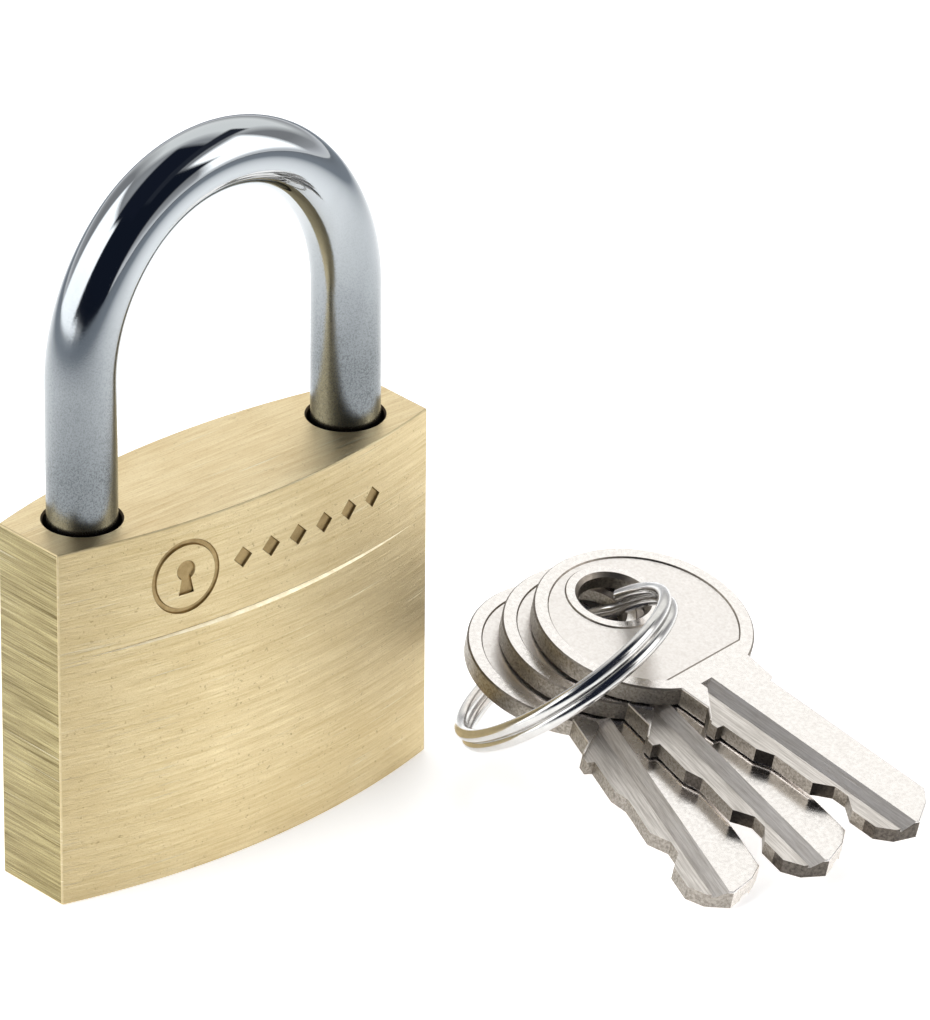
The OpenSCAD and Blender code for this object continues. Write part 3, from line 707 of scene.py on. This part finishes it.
def shackle(finish):
    """One bar carried up the heel leg, round three arcs and down the toe leg."""
    side_turn = (BOW_RISE - LEG_X) / (sin(radians(SIDE_ARC)) + cos(radians(SIDE_ARC)) - 1)
    side_r = LEG_X + side_turn * cos(radians(SIDE_ARC))
    bm = bmesh.new()
    bmesh.ops.create_circle(bm, cap_ends=False, segments=64, radius=BAR_R - LEG_CHAMFER,
                            matrix=Matrix.Translation((-LEG_X, 0, HEEL_END)))
    edge = list(bm.edges)
    bmesh.ops.edgeloop_fill(bm, edges=edge)

    def draw(edge, rise, grow=1.0):
        """Carries the open end straight up, or down for a rise below zero, and widens it."""
        out = bmesh.ops.extrude_edge_only(bm, edges=edge)["geom"]
        verts = [e for e in out if isinstance(e, bmesh.types.BMVert)]
        bmesh.ops.translate(bm, vec=(0, 0, rise), verts=verts)
        middle = sum((v.co for v in verts), Vector()) / len(verts)
        bmesh.ops.scale(bm, vec=(grow, grow, 1), verts=verts, space=Matrix.Translation(-middle))
        return [e for e in out if isinstance(e, bmesh.types.BMEdge)]

    def bend(edge, centre, degrees, steps):
        """Carries the open end round centre, in the plane of the bow."""
        out = bmesh.ops.spin(bm, geom=edge + ends_of(edge), cent=centre, axis=(0, 1, 0),
                             angle=radians(degrees), steps=steps)["geom_last"]
        return [e for e in out if isinstance(e, bmesh.types.BMEdge)]

    swell = BAR_R / (BAR_R - LEG_CHAMFER)
    edge = draw(edge, LEG_CHAMFER, swell)
    edge = draw(edge, BOW_Z - HEEL_END - LEG_CHAMFER)
    edge = bend(edge, (side_r - LEG_X, 0, BOW_Z), SIDE_ARC, 32)
    edge = bend(edge, (0, 0, BOW_Z + side_turn * sin(radians(SIDE_ARC))), 180 - 2 * SIDE_ARC, 56)
    edge = bend(edge, (LEG_X - side_r, 0, BOW_Z), SIDE_ARC, 32)
    edge = draw(edge, TOE_END + LEG_CHAMFER - BOW_Z)
    edge = draw(edge, -LEG_CHAMFER, 1 / swell)
    bmesh.ops.edgeloop_fill(bm, edges=edge)
    bmesh.ops.remove_doubles(bm, verts=bm.verts, dist=1e-4)
    bmesh.ops.recalc_face_normals(bm, faces=bm.faces)
    leg_face = LEG_X - BAR_R
    tools = [
        block((leg_face - 1, -6, BOLT_Z - NOTCH_H), (leg_face + TOE_NOTCH, 6, BOLT_Z + NOTCH_H)),
        block((-leg_face - HEEL_NOTCH, -6, BOLT_Z - NOTCH_H), (-leg_face + 1, 6, BOLT_Z + NOTCH_H)),
        block((-leg_face - HEEL_FLAT, -6.5, COLLAR_TOP), (-leg_face + 1.5, 6.5, BOLT_Z)),
    ]
    bm = carved(bm, [(tool, 0, "DIFFERENCE") for tool in tools])
    finish_piece("chrome_shackle", bm, "shackle", "shackle", [finish["shackle"]])


# ---------------------------------------------------------------- split ring

def split_ring(finish):
    """One wire wound twice: a flat turn, a step across, and a second flat turn."""
    level = WIRE_R - COIL_LAP / 2
    bm = bmesh.new()
    wire_end = (Matrix.Rotation(radians(RING_START), 4, "Z") @ Matrix.Translation((RING_R, 0, -level))
                @ Matrix.Rotation(radians(90), 4, "X"))
    bmesh.ops.create_circle(bm, cap_ends=False, segments=24, radius=WIRE_R, matrix=wire_end)
    first = list(bm.edges)
    edge = first
    for degrees, steps, rise in ((RING_TURN, 120, 0), (RING_STEP, 14, 2 * level), (RING_TURN, 120, 0)):
        out = bmesh.ops.spin(bm, geom=edge + ends_of(edge), cent=(0, 0, 0), axis=(0, 0, 1),
                             dvec=(0, 0, rise / steps), angle=radians(degrees), steps=steps)["geom_last"]
        edge = [e for e in out if isinstance(e, bmesh.types.BMEdge)]
    for rim in (first, edge):
        cap = bmesh.ops.edgeloop_fill(bm, edges=rim)["faces"]
        bmesh.ops.bevel(bm, geom=list(cap[0].edges), offset=0.15, segments=2, profile=0.5, affect="EDGES",
                        material=-1, clamp_overlap=True)
    bmesh.ops.recalc_face_normals(bm, faces=bm.faces)
    leaning = Matrix.Rotation(radians(RING_DIR), 4, "Z") @ Matrix.Rotation(radians(RING_TILT), 4, "Y")
    bmesh.ops.transform(bm, verts=bm.verts, matrix=Matrix.Translation(RING_AT) @ leaning)
    finish_piece("wire_ring", bm, "ring", "split_ring", [finish["ring"]])


# ---------------------------------------------------------------- keys

def blade_outline():
    """Neck and blade, from the head's centre to the tip; the teeth are on the low side."""
    points = [(0, BACK_V + 1), (STOP_U - 4.4, BACK_V + 1), (STOP_U - 1.1, BACK_V + 0.5),
              (STOP_U - 0.8, BACK_V), (TIP_U - 2.6, BACK_V), (TIP_U - 1.3, BACK_V - 1.3), (TIP_U, -0.9),
              (TIP_U - 0.7, -3), (TIP_U - 2, -PIN_CUTS[4])]
    for i in reversed(range(5)):
        u = STOP_U + FIRST_PIN + PIN_PITCH * i
        points += [(u + CUT_HALF, -PIN_CUTS[i]), (u - CUT_HALF, -PIN_CUTS[i])]
    points += [(STOP_U + 0.5, -4.8), (STOP_U + 0.4, -5.5), (STOP_U - 0.5, -5.5), (STOP_U - 1.6, -4.5),
               (0, -4.5)]
    return points


def key_blank():
    """A round head and its blade in one, with the ring's hole, a sunk field and the blade's milled sides."""
    ease = 0.14
    head = turned([(0, -KEY_T), (HEAD_R - ease, -KEY_T), (HEAD_R, ease - KEY_T), (HEAD_R, -ease),
                   (HEAD_R - ease, 0), (0, 0)], 128)
    blade = plate(blade_outline(), -KEY_T, 0)
    # the outline's edges above and below, but for those inside the head
    rims = [e for e in blade.edges if abs(e.verts[0].co.z - e.verts[1].co.z) < 1e-6
            and max(v.co.x for v in e.verts) > 1]
    bmesh.ops.bevel(blade, geom=rims, offset=0.1, segments=2, profile=0.5, affect="EDGES", material=-1,
                    clamp_overlap=True)
    hole_place = Matrix.Translation((-HOLE_BACK, 0, 0))
    hole_lip = KEY_HOLE_R + HOLE_CHAMFER
    hole = turned([(0, -KEY_T - 1), (KEY_HOLE_R + 1, -KEY_T - 1), (hole_lip, -KEY_T),
                   (KEY_HOLE_R, HOLE_CHAMFER - KEY_T), (KEY_HOLE_R, -HOLE_CHAMFER), (hole_lip, 0),
                   (KEY_HOLE_R + 1, 0.65), (0, 0.65)], 72, hole_place)
    # the sunk field is a shallow disc, less a boss round the hole and the part beyond the neck's border
    field = turned([(0, -EMBOSS), (FIELD_R - EMBOSS, -EMBOSS), (FIELD_R + EMBOSS, EMBOSS), (0, EMBOSS)], 96)
    boss_r = KEY_HOLE_R + BOSS_W
    boss = turned([(0, -1), (boss_r + EMBOSS, -1), (boss_r + EMBOSS, -EMBOSS), (boss_r - EMBOSS, EMBOSS),
                   (boss_r - EMBOSS, 1), (0, 1)], 72, hole_place)
    beyond = HEAD_R + 2.5
    neck = plate([(BORDER_LOW, -2 * EMBOSS), (beyond, -2 * EMBOSS), (beyond, 2 * EMBOSS),
                  (BORDER_HIGH, 2 * EMBOSS)], -10, 10, Matrix.Rotation(radians(90), 4, "X"))
    field = carved(field, [(boss, KEY_FIELD, "DIFFERENCE"), (neck, KEY_FIELD, "DIFFERENCE")])
    # the tooth side is milled down from a slanted start, with a slope up to the spine; a groove is underneath
    past_tip = TIP_U + 3
    low_flat = plate([(GROOVE_FROM, -1.9), (past_tip, -1.9), (past_tip, -8), (GROOVE_FROM + 6.5, -8)],
                     -0.4, 0.6)
    slope = plate([(-1.2, 0.5), (-1.2, 0), (-2.4, -0.7), (-2.6, -0.7), (-2.6, 0.5)], GROOVE_FROM, past_tip,
                  Matrix.Rotation(radians(90), 4, "Y") @ Matrix.Rotation(radians(90), 4, "Z"))
    under = block((GROOVE_FROM, 0.4, -KEY_T - 1), (past_tip, 1.5, 0.45 - KEY_T))
    return carved(head, [
        (blade, KEY_FACE, "UNION"), (hole, KEY_FACE, "DIFFERENCE"), (field, KEY_FIELD, "DIFFERENCE"),
        (low_flat, KEY_MILLED, "DIFFERENCE"), (slope, KEY_MILLED, "DIFFERENCE"),
        (under, KEY_MILLED, "DIFFERENCE"),
    ])


def shade_key(bm):
    """Gives each face of a key its finish, by where it is on the key and which way it faces."""
    for f in bm.faces:
        u, v, w = f.calc_center_median()
        on_blade = u > GROOVE_FROM
        flat = f.normal.z > 0.97
        if f.normal.z > 0.3 and on_blade and -5.5 < v < -1.15 and (w < -0.3 or not flat):
            f.material_index = KEY_MILLED
        elif f.normal.z > 0.3 and not on_blade and w < -0.02:
            f.material_index = KEY_FIELD if flat else KEY_RIM
        elif abs(f.normal.z) > 0.3:
            f.material_index = KEY_FACE
        else:
            toothed = v < -1.2 and u > STOP_U + 0.6 and f.normal.x > 0.2
            pointed = u > TIP_U - 2.9 and v < -0.5
            milled_side = on_blade and abs(v) < BACK_V - 0.1
            f.material_index = KEY_CUT if toothed or pointed else KEY_MILLED if milled_side else KEY_EDGE


def keys():
    """Three keys alike, fanned about their holes; each hole's centre is where its key swings."""
    joints = {j["name"]: j for j in frame["joints"]}
    for name, turn in KEY_TURNS.items():
        bm = key_blank()
        shade_key(bm)
        hole_centre = Vector(joints[name + "_swing"]["pos_m"]) / MM
        place = (Matrix.Translation(hole_centre) @ Matrix.Rotation(radians(FAN_DIR), 4, "Z")
                 @ Matrix.Rotation(radians(FAN_TILT), 4, "Y") @ Matrix.Rotation(radians(turn), 4, "Z")
                 @ Matrix.Translation((HOLE_BACK, 0, KEY_T / 2)))
        bmesh.ops.transform(bm, matrix=place, verts=bm.verts)
        finish_piece("pressed_" + name, bm, name, name, key_finishes(name, place.to_euler()))


# ---------------------------------------------------------------- carried-over nodes

def dress_cad_nodes():
    """Works a finish onto every plug, pin, bolt and spring that keeps its CAD shape."""
    turned_brass = worked_metal("turned_plug_brass", (0.78, 0.63, 0.32), (0.52, 0.38, 0.16), 0.3,
                                spots_per_m=700, stretch=(1, 1, 9), bump=0.00001)
    pin_brass = worked_metal("pin_brass", (0.80, 0.62, 0.30), (0.55, 0.38, 0.15), 0.26, spots_per_m=2400)
    caps = worked_metal("pressed_cap_brass", (0.80, 0.66, 0.34), (0.56, 0.42, 0.18), 0.38,
                        spots_per_m=1500, stretch=(1, 0.15, 4))
    steel = worked_metal("drawn_steel", (0.56, 0.56, 0.55), (0.36, 0.36, 0.36), 0.32, spots_per_m=2600)
    spring = worked_metal("spring_wire_steel", (0.50, 0.51, 0.53), (0.30, 0.31, 0.33), 0.28, spots_per_m=3200)
    chosen = {"cylinder_plug": turned_brass, "bolt_bore_plug": caps, "pin_chamber_caps": caps}
    redrawn = {"lock_body", "shackle", "split_ring", *KEY_TURNS}
    for name, obj in frame["nodes"].items():
        if name in redrawn:
            continue
        plain = spring if "spring" in name else pin_brass if name.startswith("key_pin") else steel
        obj.data.materials.clear()
        obj.data.materials.append(chosen.get(name, plain))


set_camera()
light_studio()
lay_floor()
finishes = make_finishes()
lock_body(finishes)
shackle(finishes)
split_ring(finishes)
keys()
dress_cad_nodes()
